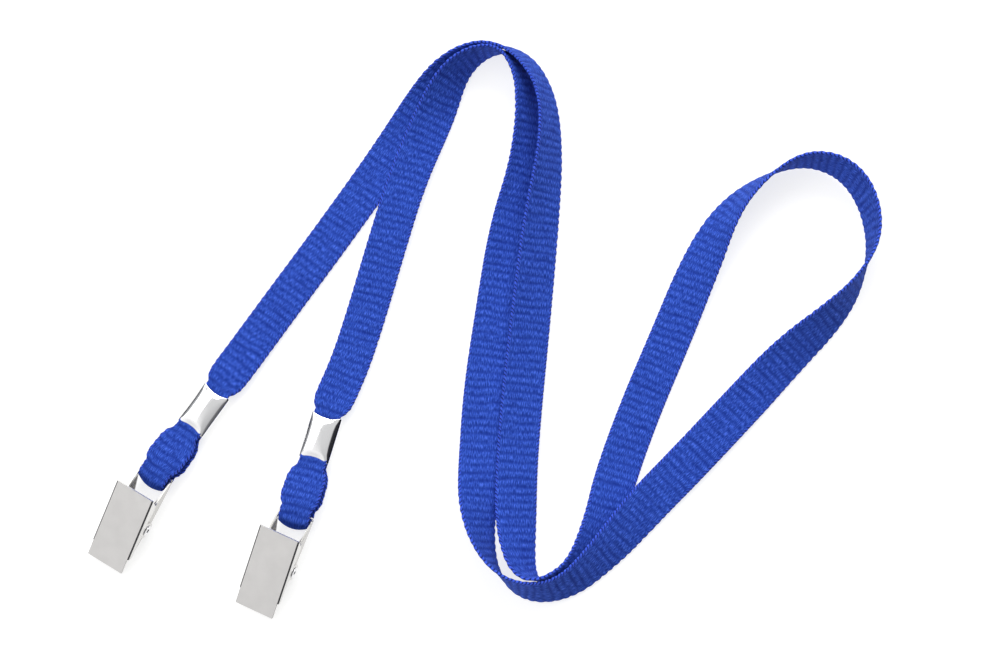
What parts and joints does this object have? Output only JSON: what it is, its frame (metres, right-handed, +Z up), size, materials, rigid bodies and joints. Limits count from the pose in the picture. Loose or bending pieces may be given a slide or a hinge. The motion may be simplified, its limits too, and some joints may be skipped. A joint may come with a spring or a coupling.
{
  "type": "lanyard",
  "caption": "Flat woven neck lanyard laid out loose in curves, each end folded through the bar of a sprung metal badge clip and closed by a folded metal crimp.",
  "frame": {"origin": "on the surface it lies on, under the middle of the whole laid-out lanyard", "axes": "+Z up from the surface, +X towards the strap's far loop, +Y towards the strap's top bend, away from the clips"},
  "size_m": [0.1933, 0.1422, 0.01],
  "materials": {
    "webbing": "ribbed polyester weave with a soft sheen",
    "satin_nickel": "satin nickel plate",
    "polished_nickel": "bright nickel plate",
    "spring_steel": "bright drawn wire"
  },
  "bodies": {
    "strap": {"strap": "webbing", "strap_loop_left": "webbing", "strap_loop_right": "webbing", "crimp_left": "polished_nickel", "crimp_right": "polished_nickel"},
    "clip_left_base": {"jaw_lever_left": "satin_nickel", "pivot_rivet_left": "polished_nickel", "torsion_spring_left": "spring_steel"},
    "clip_left_plate": {"cover_plate_left": "satin_nickel"},
    "clip_right_base": {"jaw_lever_right": "satin_nickel", "pivot_rivet_right": "polished_nickel", "torsion_spring_right": "spring_steel"},
    "clip_right_plate": {"cover_plate_right": "satin_nickel"}
  },
  "joints": [
    {"name": "left_swing", "type": "hinge", "parent": "strap", "child": "clip_left_base", "pos_m": [-0.0798, -0.0358, 0.0022], "axis": [-0.866, 0.5, 0], "range_deg": [-80, 80]},
    {"name": "left_jaw", "type": "hinge", "parent": "clip_left_base", "child": "clip_left_plate", "pos_m": [-0.0862, -0.04689, 0.0024], "axis": [-0.866, 0.5, 0], "range_deg": [0, 22], "stiffness_Nm_per_rad": 0.02, "springref_deg": -28.65, "deforming": ["torsion_spring_left"]},
    {"name": "right_swing", "type": "hinge", "parent": "strap", "child": "clip_right_base", "pos_m": [-0.0444, -0.046, 0.0022], "axis": [-0.9135, 0.4067, 0], "range_deg": [-80, 80]},
    {"name": "right_jaw", "type": "hinge", "parent": "clip_right_base", "child": "clip_right_plate", "pos_m": [-0.04961, -0.05769, 0.0024], "axis": [-0.9135, 0.4067, 0], "range_deg": [0, 22], "stiffness_Nm_per_rad": 0.02, "springref_deg": -28.65, "deforming": ["torsion_spring_right"]}
  ]
}
